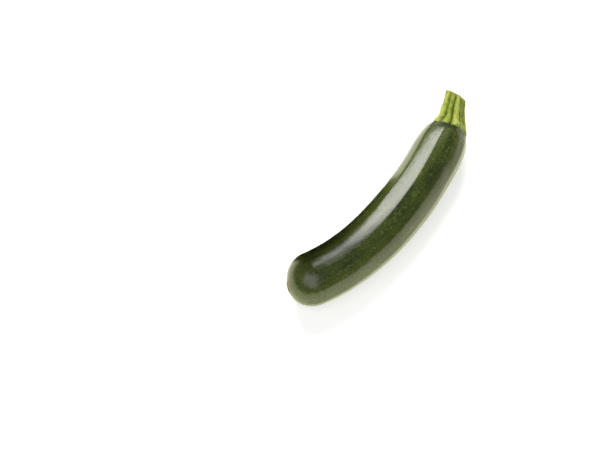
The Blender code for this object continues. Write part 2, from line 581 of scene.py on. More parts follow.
@dataclass(frozen=True)
class ShaderParts:
    """The shader groups that more than one finish uses."""

    streaks: Graph
    specks: Graph
    grain: Graph

    @classmethod
    def build(cls) -> ShaderParts:
        """Builds each group once."""
        return cls(cls.build_streaks(), cls.build_specks(), cls.build_grain())

    def streaked(self, graph: Graph, place: Value, look: Streaks) -> Socket:
        """Returns the mask of streaks at a place."""
        takes = {"Place": place, "Lengthwise": look.lengthwise, "Crosswise": look.crosswise}
        takes |= {"Share": look.share, "Softness": look.softness}
        return graph.use(self.streaks, takes).outputs["Mask"]

    def specked(self, graph: Graph, place: Value, look: Specks) -> bpy.types.bpy_prop_collection:
        """Returns the Mask of specks at a place, and a Chance that differs from speck to speck."""
        takes = {"Place": place, "Across": look.across, "Stretch": look.stretch}
        takes |= {"Share": look.share, "Size": look.size}
        return graph.use(self.specks, takes).outputs

    def grained(self, graph: Graph, place: Value, fineness: float) -> bpy.types.bpy_prop_collection:
        """Returns the Mask and the Height of grain at a place."""
        return graph.use(self.grain, {"Place": place, "Fineness": fineness}).outputs

    @staticmethod
    def build_streaks() -> Graph:
        """Builds the group of soft streaks, with the inputs that Streaks describes: a mask.

        Returns:
            The group's graph.
        """
        takes = (
            Port("Place", PortKind.PLACE),
            Port("Lengthwise", default=10.0),
            Port("Crosswise", default=200.0),
            Port("Share", default=0.5),
            Port("Softness", default=0.15),
        )
        graph = Graph.group(TreeKind.SHADER, "growth_streaks", takes, (Port("Mask"),))
        crosswise = graph.given("Crosswise")
        stretch = graph.joined(graph.given("Lengthwise"), crosswise, crosswise)
        place = graph.vector("MULTIPLY", graph.given("Place"), stretch)
        value = graph.noise(place, 1.0, 3.0, 0.55)
        edge = graph.maths("MULTIPLY_ADD", graph.given("Share"), -0.6, 0.8)
        start = graph.maths("SUBTRACT", edge, graph.given("Softness"))
        graph.give("Mask", graph.ramp(value, start, graph.total(edge, graph.given("Softness"))))
        return graph

    @staticmethod
    def build_specks() -> Graph:
        """Builds the group of specks, with the inputs that Specks describes: a mask and a chance.

        Returns:
            The group's graph.
        """
        takes = (
            Port("Place", PortKind.PLACE),
            Port("Across", default=800.0),
            Port("Stretch", default=1.5),
            Port("Share", default=0.5),
            Port("Size", default=0.3),
        )
        graph = Graph.group(TreeKind.SHADER, "specks", takes, (Port("Mask"), Port("Chance")))
        shorter = graph.maths("DIVIDE", 1.0, graph.given("Stretch"))
        place = graph.vector("MULTIPLY", graph.given("Place"), graph.joined(shorter, 1.0, 1.0))
        cells = graph.add("ShaderNodeTexVoronoi", {"Vector": place, "Scale": graph.given("Across")})
        chance = graph.parts(cells.outputs["Color"])
        there = graph.maths("LESS_THAN", chance[0], graph.given("Share"))
        size = graph.product(graph.given("Size"), graph.maths("MULTIPLY_ADD", chance[1], 0.8, 0.6))
        spot = graph.ramp(cells.outputs["Distance"], size, graph.product(size, 0.45))
        graph.give("Mask", graph.product(spot, there))
        graph.give("Chance", chance[2])
        return graph

    @staticmethod
    def build_grain() -> Graph:
        """Builds the group of fine grain, such as a skin's pores: a mask and a height.

        Returns:
            The group's graph.
        """
        takes = (Port("Place", PortKind.PLACE), Port("Fineness", default=1500.0))
        graph = Graph.group(TreeKind.SHADER, "fine_grain", takes, (Port("Mask"), Port("Height")))
        fine = graph.noise(graph.given("Place"), graph.given("Fineness"), 3.0, 0.6)
        coarse = graph.noise(graph.given("Place"), graph.product(graph.given("Fineness"), 0.3), 2.0, 0.5)
        graph.give("Mask", graph.ramp(fine, 0.35, 0.65))
        graph.give("Height", graph.maths("MULTIPLY_ADD", coarse, 0.8, fine))
        return graph


def new_material(name: str) -> tuple[bpy.types.Material, Graph, Node]:
    """Makes a material with a Principled shader.

    Args:
        name: The material's name.

    Returns:
        The material, the graph of its tree and its shader node.
    """
    material = bpy.data.materials.new(name)
    material.use_nodes = True
    return material, Graph(material.node_tree), material.node_tree.nodes["Principled BSDF"]


def attribute(graph: Graph, which: Field) -> Node:
    """Adds the node that reads what a form keeps at its points."""
    return graph.add("ShaderNodeAttribute", attribute_name=which.value)


# ---- The fruit ----


@dataclass(frozen=True)
class SkinFinish:
    """A glossy, deep green courgette skin with pale flecks, a tan blossom scar and painted shade at the
    stem.
    """

    deep: Colour = (0.020, 0.032, 0.006, 1.0)
    green: Colour = (0.055, 0.078, 0.012, 1.0)
    olive: Colour = (0.110, 0.130, 0.022, 1.0)
    fleck: Colour = (0.190, 0.280, 0.070, 1.0)
    scar: Colour = (0.400, 0.290, 0.150, 1.0)
    scar_edge: Colour = (0.110, 0.085, 0.030, 1.0)
    # Painted shade: the near-black green that the skin is darkened to in the crease round the stem.
    crease: Colour = (0.012, 0.024, 0.003, 1.0)
    scar_radius: float = 0.0044
    scar_wander: float = 0.0007
    # Where the painted shade in the crease round the stem reaches, and how dark it gets.
    crease_shade_radius: float = 0.0178
    crease_shade_start: float = 0.36
    crease_shade_full: float = 0.14
    crease_shade_strength: float = 0.80
    patches_per_metre: float = 55.0
    tip_olive: float = 0.35
    joint_olive: float = 0.10
    streaks: Streaks = Streaks(14.0, 210.0, 0.42, 0.45)
    fleck_rows: Streaks = Streaks(9.0, 330.0, 0.5, softness=0.10)
    fine_flecks: Specks = Specks(1300.0, 1.4, 0.70, 0.45)
    large_flecks: Specks = Specks(620.0, 1.5, 0.30, 0.30)

    roughness: float = 0.17
    rough_spread: float = 0.07
    fleck_roughness: float = 0.10
    scar_roughness: float = 0.45
    crease_roughness: float = 0.16
    specular: float = 0.5
    coat: float = 0.12
    coat_roughness: float = 0.08
    grain_fineness: float = 1700.0
    relief: float = 0.00008
    fleck_relief: float = 0.8
    cork_relief: float = 3.0

    def make(self, parts: ShaderParts, form: FruitForm) -> bpy.types.Material:
        """Builds the material.

        Args:
            parts: The shader groups.
            form: The fruit's form, whose ends the pattern follows.

        Returns:
            The material.
        """
        material, graph, shader = new_material("courgette_skin")
        maths, mixed, product, ramp = graph.maths, graph.mixed, graph.product, graph.ramp
        place = attribute(graph, Field.PLACE).outputs["Vector"]
        distance, side, top = graph.parts(place)

        drawn_out = graph.vector("MULTIPLY", place, (0.5, 1.0, 1.0))
        patches = graph.noise(drawn_out, self.patches_per_metre, 3.0, 0.55)
        base = mixed(ramp(patches, 0.32, 0.68), self.deep, self.green)
        streaks = parts.streaked(graph, place, self.streaks)
        base = mixed(product(streaks, self.streaks.strength), base, self.olive)
        near_tip = ramp(distance, form.cap_length, 0.0)
        near_joint = ramp(distance, form.length - form.shoulder_length, form.length)
        ends = graph.total(product(near_tip, self.tip_olive), product(near_joint, self.joint_olive))
        base = mixed(ends, base, self.olive)

        rows = maths("MULTIPLY_ADD", parts.streaked(graph, place, self.fleck_rows), 0.45, 0.12)
        fine = parts.specked(graph, place, self.fine_flecks)
        large = parts.specked(graph, place, self.large_flecks)
        paleness = maths("MULTIPLY_ADD", large["Chance"], 0.4, 0.2)
        flecks = maths("MAXIMUM", product(fine["Mask"], rows), product(large["Mask"], paleness))
        base = mixed(flecks, base, self.fleck)

        round_it = graph.vector("LENGTH", graph.joined(0.0, side, top))
        edge = graph.total(round_it, product(graph.signed_noise(place, 420.0, 3.0), self.scar_wander))
        at_tip = ramp(distance, 0.3 * form.cap_length, 0.1 * form.cap_length)
        scar = product(ramp(edge, 1.05 * self.scar_radius, 0.85 * self.scar_radius), at_tip)
        scar_ring = product(ramp(edge, 1.5 * self.scar_radius, self.scar_radius), at_tip)
        corky = graph.noise(place, 900.0, 4.0, 0.65)
        scar_colour = mixed(ramp(corky, 0.35, 0.65), self.scar_edge, self.scar)
        base = mixed(product(scar_ring, 0.6), base, self.scar_edge)
        base = mixed(scar, base, scar_colour)
        # Painted shade: the skin is darkened in the crease round the stem joint, and is rougher and bare of
        # coat there too.
        crease_shade_start = form.length - self.crease_shade_start * form.shoulder_length
        crease_shade_full = form.length - self.crease_shade_full * form.shoulder_length
        crease = ramp(edge, 1.08 * self.crease_shade_radius, 0.92 * self.crease_shade_radius)
        crease = product(crease, ramp(distance, crease_shade_start, crease_shade_full))
        base = mixed(product(crease, self.crease_shade_strength), base, self.crease)
        graph.put(shader.inputs["Base Color"], base)

        grain = parts.grained(graph, place, self.grain_fineness)
        rough = maths("MULTIPLY_ADD", grain["Mask"], self.rough_spread, self.roughness)
        rough = maths("MULTIPLY_ADD", flecks, self.fleck_roughness, rough)
        rougher = product(crease, self.crease_roughness)
        rough = graph.total(rough, product(scar, self.scar_roughness), rougher)
        graph.put(shader.inputs["Roughness"], rough)
        bare = maths("MAXIMUM", scar, crease)
        graph.put(shader.inputs["Coat Weight"], maths("MULTIPLY_ADD", bare, -self.coat, self.coat))
        shader.inputs["Coat Roughness"].default_value = self.coat_roughness
        shader.inputs["Specular IOR Level"].default_value = self.specular

        height = maths("MULTIPLY_ADD", flecks, self.fleck_relief, grain["Height"])
        height = maths("MULTIPLY_ADD", product(corky, scar), self.cork_relief, height)
        bump = graph.add("ShaderNodeBump", {"Height": height, "Distance": self.relief, "Strength": 1.0})
        graph.put(shader.inputs["Normal"], bump.outputs[0])
        return material


@dataclass
class FruitForm:
    """The fruit's sizes. Distances run along its curved centreline, from the blossom tip."""

    length: float = 0.185
    belly_radius: float = 0.0203
    belly_distance: float = 0.100
    blossom_radius: float = 0.0199
    cap_length: float = 0.0195
    tip_radius: float = 0.0013
    neck_radius: float = 0.0196
    shoulder_length: float = 0.027
    joint_radius: float = 0.0130

    bend: float = math.radians(90.0)
    straightening: float = math.radians(48.0)
    neck_hook: float = math.radians(10.0)
    hook_power: float = 10.0

    rest_depth: float = 0.0006
    neck_lift: float = 0.007
    neck_lift_length: float = 0.080
    blossom_lift: float = 0.0015
    blossom_lift_length: float = 0.050

    def heading(self, distance: np.ndarray) -> np.ndarray:
        """Returns the centreline's direction seen from above, turning left from the blossom tip."""
        share = np.maximum(distance / self.length, 0.0)
        return self.bend * share - self.straightening * share**2 + self.neck_hook * share**self.hook_power

    def trunk_radius(self, distance: np.ndarray) -> np.ndarray:
        """Returns the radius without the rounded ends: blossom end, belly, neck."""
        lower = (distance - self.cap_length) / (self.belly_distance - self.cap_length)
        neck_start = self.length - self.shoulder_length
        upper = (distance - self.belly_distance) / (neck_start - self.belly_distance)
        below = blended(self.blossom_radius, self.belly_radius, eased(lower))
        above = blended(self.belly_radius, self.neck_radius, eased(upper))
        return np.where(distance < self.belly_distance, below, above)

    def radius(self, distance: np.ndarray) -> np.ndarray:
        """Returns the radius, closed by a round blossom end and a round shoulder."""
        trunk = self.trunk_radius(distance)
        cap = np.clip(1.0 - distance / self.cap_length, 0.0, 1.0)
        shoulder = np.clip(1.0 - (self.length - distance) / self.shoulder_length, 0.0, 1.0)
        at_tip = blended(self.tip_radius, trunk, np.sqrt(1.0 - cap**2))
        at_joint = blended(self.joint_radius, trunk, np.sqrt(1.0 - shoulder**2))
        return np.where(distance < self.belly_distance, at_tip, at_joint)

    def height(self, distance: np.ndarray) -> np.ndarray:
        """Returns the centreline's height: level over the flat, and higher towards both ends."""
        neck = np.maximum(distance - self.length + self.neck_lift_length, 0.0) / self.neck_lift_length
        blossom = np.maximum(self.blossom_lift_length - distance, 0.0) / self.blossom_lift_length
        lift = self.neck_lift * neck**2 + self.blossom_lift * blossom**2
        return self.trunk_radius(distance) - self.rest_depth + lift

    def ring_distances(self, cap_rings: int, trunk_rings: int) -> np.ndarray:
        """Works out where the rings are: close together at both ends, where the fruit rounds off.

        Args:
            cap_rings: How many rings each rounded end has.
            trunk_rings: How many rings lie between the ends.

        Returns:
            Their distances.
        """
        quarter = np.sin(np.linspace(0.0, 0.5 * math.pi, cap_rings + 1))
        shoulder_start = self.length - self.shoulder_length
        trunk = np.linspace(self.cap_length, shoulder_start, trunk_rings + 1)
        cap = self.cap_length * (1.0 - quarter[::-1])
        return np.concatenate((cap, trunk[1:-1], shoulder_start + self.shoulder_length * quarter))

    def spine(self, distances: np.ndarray) -> Spine:
        """Walks the centreline from the blossom tip, which is at X = Y = 0 and heads along +X.

        Args:
            distances: The rings' distances, ascending.

        Returns:
            The centreline.
        """
        steps = np.diff(distances, prepend=0.0)
        middles = self.heading(distances - 0.5 * steps)
        x = np.cumsum(steps * np.cos(middles))
        y = np.cumsum(steps * np.sin(middles))
        step = self.length / 1000.0
        slope = (self.height(distances + step) - self.height(distances - step)) / (2.0 * step)
        turn = self.heading(distances)
        alongs = np.stack((np.cos(turn), np.sin(turn), slope), axis=1)
        alongs /= np.linalg.norm(alongs, axis=1, keepdims=True)
        centres = np.stack((x, y, self.height(distances)), axis=1)
        return Spine(distances, centres, alongs, self.radius(distances))


@dataclass
class Ridges:
    """The fruit's ridges: main ones, a small one between each two, and flatter skin between them all.

    Turn is a main ridge's place at the joint, and twist how far it turns in a metre towards the tip.
    """

    count: int = 5
    turn: float = math.radians(29.5)
    twist: float = math.radians(157.0)
    height: float = 0.00015
    flatness: float = 0.62
    softness: float = math.radians(3.0)


@dataclass
class Fruit:
    """The fruit: one closed skin from the blossom scar to the joint of the stem."""

    form: FruitForm = field(default_factory=FruitForm)
    ridges: Ridges = field(default_factory=Ridges)
    finish: SkinFinish = field(default_factory=SkinFinish)
    sides: int = 216
    cap_rings: int = 60
    trunk_rings: int = 270
    end_rings: int = 3
    lump_height: float = 0.00035
    lumps_per_metre: float = 34.0
    crease_depth: float = 0.0015
    scar_depth: float = 0.0005
    floor_blend: float = 0.0003
    unevenness_per_metre: float = 40.0
    pleats_around: float = 3.6
    crease_reach: float = 0.32
    scar_wander: float = 0.0006

    def __post_init__(self) -> None:
        """Walks the centreline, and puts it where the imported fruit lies."""
        spine = self.form.spine(self.form.ring_distances(self.cap_rings, self.trunk_rings))
        chord = spine.centres[-1]
        turn = Matrix.Rotation(-math.atan2(chord[1], chord[0]), 3, "Z")
        turned = spine.placed(turn, np.zeros(3))
        low, high = turned.box()
        packed_low, packed_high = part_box("fruit")
        middle = 0.5 * (np.array(packed_low) + np.array(packed_high))
        shift = middle - 0.5 * (low + high)
        shift[2] = 0.0
        self.spine = turned.placed(Matrix.Identity(3), shift)

    def build_tree(self, rings: ShapeGraph, sizes: dict[str, Value]) -> ShapeGraph:
        """Builds the tree that sweeps the rings and raises the relief of the skin.

        Args:
            rings: The group that sweeps rings.
            sizes: The tree's inputs.

        Returns:
            The tree's graph.
        """
        graph = ShapeGraph.maker("courgette_fruit", "Spine", sizes)
        given, maths, product, ramp = graph.given, graph.maths, graph.product, graph.ramp
        names = ("Spine", "Sides", "Rings", "End Rings")
        shape = graph.use(rings, {name: given(name) for name in names}).outputs["Shape"]
        distance, turn, place = (graph.kept(which) for which in (Field.DISTANCE, Field.TURN, Field.PLACE))
        from_joint = maths("SUBTRACT", given("Length"), distance)
        near_tip = ramp(distance, 0.0, product(given("Cap Length"), 1.4))
        twisted = maths("MULTIPLY_ADD", given("Ridge Twist"), from_joint, given("Ridge Turn"))
        angle = maths("SUBTRACT", turn, twisted)
        wave = product(given("Ridge Count"), angle)
        main = product(given("Ridge Height"), maths("COSINE", wave))
        # The skin is flatter between each two ridges, as on a soft-edged polygon.
        half_facet = maths("DIVIDE", 0.5 * math.pi, given("Ridge Count"))
        off_ridge = maths("WRAP", angle, product(half_facet, -1.0), half_facet)
        softness = given("Ridge Softness")
        squared = graph.total(product(off_ridge, off_ridge), product(softness, softness))
        off_middle = maths("SUBTRACT", half_facet, maths("SQRT", squared))
        facet = maths("DIVIDE", maths("COSINE", half_facet), maths("COSINE", off_middle))
        level = product(maths("SUBTRACT", facet, FACET_MEAN), graph.kept(Field.RADIUS))
        drawn_out = graph.vector("MULTIPLY", place, (0.4, 1.0, 1.0))
        uneven = ramp(graph.noise(drawn_out, self.unevenness_per_metre, 1.0), 0.3, 0.7, 0.8, 1.1)
        level = product(level, uneven, given("Flatness"))
        ridge = product(graph.total(main, level), near_tip)

        lumps = product(graph.signed_noise(place, given("Lumps per Metre"), 2.0), given("Lump Height"))
        around = graph.vector("NORMALIZE", graph.kept(Field.OUTWARD))
        pleats = graph.noise(graph.vector("SCALE", around, self.pleats_around), 1.0, 2.0)
        close_in = ramp(from_joint, product(given("Shoulder Length"), self.crease_reach), 0.0)
        pleated = ramp(pleats, 0.56, 0.36, 0.25, 1.0)
        crease = product(pleated, close_in, product(given("Crease Depth"), -1.0))
        round_it = product(graph.kept(Field.RADIUS), graph.kept(Field.RIM))
        wander = product(graph.signed_noise(place, 500.0, 2.0), self.scar_wander)
        rough_edge = graph.total(round_it, wander)
        at_tip = ramp(distance, 0.004, 0.002)
        radius = given("Scar Radius")
        dimple = ramp(rough_edge, radius, product(radius, 0.6), 0.0, -1.0)
        lip = product(
            ramp(rough_edge, product(radius, 0.8), product(radius, 1.05)),
            ramp(rough_edge, product(radius, 1.6), product(radius, 1.1)),
            0.5,
        )
        corky = product(graph.signed_noise(place, 1100.0, 3.0), ramp(rough_edge, radius, 0.0), 0.35)
        scar = product(graph.total(dimple, lip, corky), at_tip, given("Scar Depth"))
        height = graph.total(ridge, lumps, crease, scar)
        normal = graph.add("GeometryNodeInputNormal").outputs[0]
        shape = graph.moved(shape, graph.vector("SCALE", normal, height))

        x, y, z = graph.parts(graph.add("GeometryNodeInputPosition").outputs[0])
        flat = maths("SMOOTH_MAX", z, 0.0, given("Floor Blend"))
        graph.finish(graph.placed(shape, graph.joined(x, y, flat)))
        return graph

    def build(self, rings: ShapeGraph, parts: ShaderParts) -> Thing:
        """Builds the skin and puts it on the frame.

        Args:
            rings: The group that sweeps rings.
            parts: The shader groups.

        Returns:
            The skin.
        """
        sizes = {
            "Sides": self.sides,
            "Rings": len(self.spine.distances),
            "End Rings": self.end_rings,
            "Length": self.form.length,
            "Cap Length": self.form.cap_length,
            "Shoulder Length": self.form.shoulder_length,
            "Ridge Count": float(self.ridges.count),
            "Ridge Turn": self.ridges.turn,
            "Ridge Twist": self.ridges.twist,
            "Ridge Height": self.ridges.height,
            "Flatness": self.ridges.flatness,
            "Ridge Softness": self.ridges.softness,
            "Lump Height": self.lump_height,
            "Lumps per Metre": self.lumps_per_metre,
            "Crease Depth": self.crease_depth,
            "Scar Radius": self.finish.scar_radius,
            "Scar Depth": self.scar_depth,
            "Floor Blend": self.floor_blend,
            "Material": self.finish.make(parts, self.form),
        }
        tree = self.build_tree(rings, sizes)
        skin = shaped("courgette_skin", self.spine.line_mesh("fruit_spine"), tree, sizes)
        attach(skin, ROOT_BODY)
        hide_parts("fruit")
        return skin


# ---- The stem ----


@dataclass(frozen=True)
class StemFinish:
    """A yellow-green, fibrous stem with painted shade in its grooves, pale feet and a cut that has begun to
    dry.
    """

    rib: Colour = (0.520, 0.580, 0.085, 1.0)
    green: Colour = (0.250, 0.320, 0.018, 1.0)
    # Dark green: painted shade in the grooves between the ribs, and the stem's own dark blotches.
    dark_green_and_groove_shade: Colour = (0.060, 0.100, 0.004, 1.0)
    foot: Colour = (0.440, 0.500, 0.120, 1.0)
    dry: Colour = (0.450, 0.360, 0.120, 1.0)
    pith: Colour = (0.560, 0.560, 0.260, 1.0)
    bundle: Colour = (0.200, 0.230, 0.050, 1.0)
    bristle: Colour = (0.620, 0.660, 0.360, 1.0)
    fibres: Streaks = Streaks(70.0, 900.0, 0.5, 0.35)
    specks: Specks = Specks(900.0, 2.0, 0.35, 0.35)
    rib_strength: float = 0.75
    blotch_strength: float = 0.42
    foot_strength: float = 0.6
    speck_strength: float = 0.5
    dry_strength: float = 0.8
    dry_depth: float = 0.0026

    roughness: float = 0.48
    rough_spread: float = 0.16
    dry_roughness: float = 0.2
    bristle_roughness: float = 0.42
    grain_fineness: float = 1400.0
    translucency: float = 0.12
    relief: float = 0.00018

    def make(self, parts: ShaderParts, form: StemForm) -> bpy.types.Material:
        """Builds the stem's material.

        Args:
            parts: The shader groups.
            form: The stem's form, whose ends the colours follow.

        Returns:
            The material.
        """
        material, graph, shader = new_material("courgette_stem")
        maths, mixed, product, ramp = graph.maths, graph.mixed, graph.product, graph.ramp
        place = attribute(graph, Field.PLACE).outputs["Vector"]
        rib = attribute(graph, Field.RIB).outputs["Fac"]
        cut = attribute(graph, Field.CUT).outputs["Fac"]
        distance, side, top = graph.parts(place)

        # Painted shade: the grooves between the ribs are darkened.
        base = mixed(ramp(rib, 0.05, 0.65), self.dark_green_and_groove_shade, self.green)
        base = mixed(product(ramp(rib, 0.55, 0.98), self.rib_strength), base, self.rib)
        fibres = parts.streaked(graph, place, self.fibres)
        base = mixed(product(fibres, self.fibres.strength), base, self.rib)
        # The stem's own dark green blotches, in the same colour.
        blotch = ramp(graph.noise(place, 340.0, 4.0, 0.65), 0.46, 0.62)
        base = mixed(product(blotch, self.blotch_strength), base, self.dark_green_and_groove_shade)
        foot = product(ramp(distance, 0.3 * form.length, 0.0), ramp(rib, 0.3, 0.9))
        base = mixed(product(foot, self.foot_strength), base, self.foot)
        specks = parts.specked(graph, place, self.specks)["Mask"]
        base = mixed(product(specks, self.speck_strength), base, self.foot)
        near_cut = ramp(distance, form.length - self.dry_depth, form.length - 0.0002)
        drying = product(near_cut, ramp(graph.noise(place, 420.0, 3.0), 0.30, 0.62))
        base = mixed(product(drying, self.dry_strength), base, self.dry)

        from_middle = graph.vector("LENGTH", graph.joined(0.0, side, top))
        outward = maths("DIVIDE", from_middle, form.top_radius)
        face = mixed(ramp(outward, 0.30, 0.75), self.pith, self.rib)
        ring = product(ramp(outward, 0.50, 0.60), ramp(outward, 0.76, 0.66))
        bundle_turns = product(maths("ARCTAN2", side, top), 2.0 * form.rib_count)
        spots = ramp(maths("COSINE", bundle_turns), 0.35, 0.85)
        face = mixed(product(ring, spots, 0.7), face, self.bundle)
        face = mixed(ramp(outward, 0.82, 0.97), face, self.dry)
        stains = ramp(graph.noise(place, 700.0, 4.0), 0.45, 0.75)
        face = mixed(product(stains, 0.4), face, self.dry)
        base = mixed(cut, base, face)
        graph.put(shader.inputs["Base Color"], base)

        grain = parts.grained(graph, place, self.grain_fineness)
        rough = maths("MULTIPLY_ADD", grain["Mask"], self.rough_spread, self.roughness)
        rough = maths("MULTIPLY_ADD", maths("MAXIMUM", cut, drying), self.dry_roughness, rough)
        graph.put(shader.inputs["Roughness"], rough)
        shader.inputs["Subsurface Weight"].default_value = self.translucency
        shader.inputs["Subsurface Radius"].default_value = (0.6, 1.0, 0.2)
        shader.inputs["Subsurface Scale"].default_value = 0.0015

        height = maths("MULTIPLY_ADD", fibres, 0.9, grain["Height"])
        bump = graph.add("ShaderNodeBump", {"Height": height, "Distance": self.relief, "Strength": 0.8})
        graph.put(shader.inputs["Normal"], bump.outputs[0])
        return material

    def make_bristles(self, parts: ShaderParts) -> bpy.types.Material:
        """Builds the material of the stem's fine bristles.

        Args:
            parts: The shader groups.

        Returns:
            The material.
        """
        material, graph, shader = new_material("stem_bristles")
        place = graph.add("ShaderNodeTexCoord").outputs["Object"]
        grain = parts.grained(graph, place, 2500.0)["Mask"]
        graph.put(shader.inputs["Base Color"], graph.mixed(grain, self.rib, self.bristle))
        rough = graph.maths("MULTIPLY_ADD", grain, 0.15, self.bristle_roughness)
        graph.put(shader.inputs["Roughness"], rough)
        return material


@dataclass
class StemForm:
    """The stem's sizes. Distances run from its foot, on the joint, to the middle of the cut."""

    rib_count: int = 5
    rib_turn: float = math.radians(23.0)
    joint_gap: float = 0.0003
    length: float = 0.0268
    foot_radius: float = 0.0140
    top_radius: float = 0.0086
    flare_power: float = 1.7
    bend_length: float = 0.012
    turn: float = math.radians(8.0)
    rise: float = math.radians(12.0)
    cut_slant: float = math.radians(18.0)
    sink: float = 0.0029

    def spine(self, joint: Spine, rings: int) -> Spine:
        """Walks the stem's centreline from a little inside the fruit, leaning left and up.

        Args:
            joint: The fruit's centreline, which ends at the joint.
            rings: How many steps there are.

        Returns:
            The centreline.
        """
        axes = axes_at(joint.alongs[-1:])[0]
        distances = np.linspace(-self.sink, self.length, rings + 1)
        position = joint.centres[-1] + axes[:, 0] * (self.joint_gap - self.sink)
        centres, alongs = [], []
        last = -self.sink
        for distance, bent in zip(distances, eased(distances / self.bend_length)):
            lean = Matrix.Rotation(self.turn * bent, 3, "Z") @ Matrix.Rotation(-self.rise * bent, 3, "Y")
            along = axes @ np.array(lean @ Vector((1.0, 0.0, 0.0)))
            position = position + along * (distance - last)
            last = distance
            centres.append(position)
            alongs.append(along)
        flare = np.maximum(1.0 - distances / self.length, 0.0) ** self.flare_power
        radii = blended(self.top_radius, self.foot_radius, flare)
        return Spine(distances, np.array(centres), np.array(alongs), radii)


@dataclass
class Stem:
    """The stem: thick and thin ribs on blunt feet, a slanting cut, and fine bristles."""

    form: StemForm = field(default_factory=StemForm)
    finish: StemFinish = field(default_factory=StemFinish)
    sides: int = 240
    rings: int = 150
    end_rings: int = 26
    main_half_width: float = math.radians(19.0)
    small_share: float = 0.62
    foot_groove_depth: float = 0.0042
    top_groove_depth: float = 0.0020
    foot_swell: float = 0.0028
    knob_height: float = 0.00075
    wander: float = math.radians(11.0)
    sway_around: float = 1.3
    sways_per_metre: float = 75.0
    crest_power: float = 0.62
    knobs_per_metre: float = 430.0
    groove_foot_length: float = 0.0012
    rib_foot_length: float = 0.0022
    foot_tuck: float = 0.0034
    pith_depth: float = 0.0007
    cut_edge_height: float = 0.00025
    torn_height: float = 0.00022
    bundle_height: float = 0.00022
    bristles_per_square_metre: float = 520000.0
    bristle_length: float = 0.00055
    bristle_radius: float = 0.000035
    seed: int = 11

    def build_tree(self, rings: ShapeGraph, sizes: dict[str, Value]) -> ShapeGraph:
        """Builds the tree that sweeps the stem and raises its ribs, feet and cut face.

        Args:
            rings: The group that sweeps rings.
            sizes: The tree's inputs.

        Returns:
            The tree's graph.
        """
        graph = ShapeGraph.maker("courgette_stem", "Spine", sizes)
        given, maths, product, ramp = graph.given, graph.maths, graph.product, graph.ramp
        names = ("Spine", "Sides", "Rings", "End Rings")
        shape = graph.use(rings, {name: given(name) for name in names}).outputs["Shape"]
        distance, turn, place = (graph.kept(which) for which in (Field.DISTANCE, Field.TURN, Field.PLACE))
        rim, outward = (graph.kept(which) for which in (Field.RIM, Field.OUTWARD))
        share = maths("DIVIDE", distance, given("Length"), clamp=True)
        # Every ring reads the noise at its rim, so that the ribs run on across the cut face.
        around = graph.vector("NORMALIZE", outward)

        onward = graph.joined(product(distance, self.sways_per_metre), 0.0, 0.0)
        sway_place = graph.vector("ADD", graph.vector("SCALE", around, self.sway_around), onward)
        sway = product(graph.signed_noise(sway_place, 1.0, 2.0), given("Wander"))
        half_gap = maths("DIVIDE", math.pi, given("Rib Count"))
        angle = maths("SUBTRACT", graph.total(turn, sway), given("Rib Turn"))
        off_main = maths("ABSOLUTE", maths("WRAP", angle, product(half_gap, -1.0), half_gap))

        def rounded(offset: Value, half_width: Value) -> Socket:
            """Returns the height of a round crest, 1 at its middle and 0 from its edge on."""
            across = maths("DIVIDE", offset, half_width)
            inside = maths("SUBTRACT", 1.0, product(across, across))
            return maths("POWER", maths("MAXIMUM", inside, 0.0), self.crest_power)

        main = rounded(off_main, given("Main Half Width"))
        off_small = maths("SUBTRACT", half_gap, off_main)
        small_half_width = maths("SUBTRACT", half_gap, given("Main Half Width"))
        small = product(rounded(off_small, small_half_width), given("Small Share"))
        rib = maths("MAXIMUM", main, small)
        depth_ends = (given("Foot Groove Depth"), given("Top Groove Depth"))
        depth = ramp(share, 0.0, 1.0, *depth_ends)
        relief = product(depth, maths("SUBTRACT", rib, 1.0))

        uneven = graph.noise(graph.vector("SCALE", around, 1.7), 1.0, 1.0)
        buried = graph.total(distance, given("Sink"))
        leading = maths("MAXIMUM", maths("COSINE", angle), 0.0)
        swell = product(ramp(buried, 0.0, 0.0014), ramp(share, 0.24, 0.02), rib)
        swell = product(swell, ramp(uneven, 0.25, 0.75, 0.6, 1.0), given("Foot Swell"))
        swell = product(swell, maths("MULTIPLY_ADD", leading, 1.25, 0.05))
        knob_place = graph.vector("MULTIPLY", place, (0.55, 1.0, 1.0))
        knobs = product(graph.signed_noise(knob_place, self.knobs_per_metre, 3.0), given("Knob Height"))
        relief = graph.total(relief, swell, knobs)

        foot_length = maths("MULTIPLY_ADD", rib, self.rib_foot_length, self.groove_foot_length)
        inward = maths("SUBTRACT", 1.0, maths("DIVIDE", buried, foot_length, clamp=True))
        rounding = maths("SQRT", maths("SUBTRACT", 1.0, product(inward, inward)))
        tucked = maths("MULTIPLY_ADD", maths("SUBTRACT", 1.0, rounding), -self.foot_tuck, relief)
        shape = graph.keep(shape, Field.RIB, rib)
        at_cut = maths("GREATER_THAN", share, 0.999)
        inner = maths("LESS_THAN", rim, 0.995)
        cut = product(at_cut, inner)
        shape = graph.keep(shape, Field.CUT, cut)

        to_left = graph.parts(place)[1]
        slanted = product(to_left, rim, given("Cut Slope"), ramp(share, 0.25, 1.0))
        sunk = ramp(rim, 0.55, 0.10, 0.0, -self.pith_depth)
        edge = product(ramp(rim, 0.80, 0.92), ramp(rim, 1.0, 0.95), self.cut_edge_height)
        torn = product(graph.signed_noise(place, 800.0, 3.0), self.torn_height)
        bundles = maths("COSINE", product(turn, given("Rib Count"), 2.0))
        bundle_ring = product(ramp(rim, 0.50, 0.62), ramp(rim, 0.78, 0.66), self.bundle_height)
        face = product(cut, graph.total(sunk, edge, torn, product(bundles, bundle_ring)))
        lengthwise = graph.vector("SCALE", graph.kept(Field.ALONG), graph.total(slanted, face))
        sideways = graph.vector("SCALE", outward, tucked)
        graph.finish(graph.moved(shape, graph.vector("ADD", sideways, lengthwise)))
        return graph

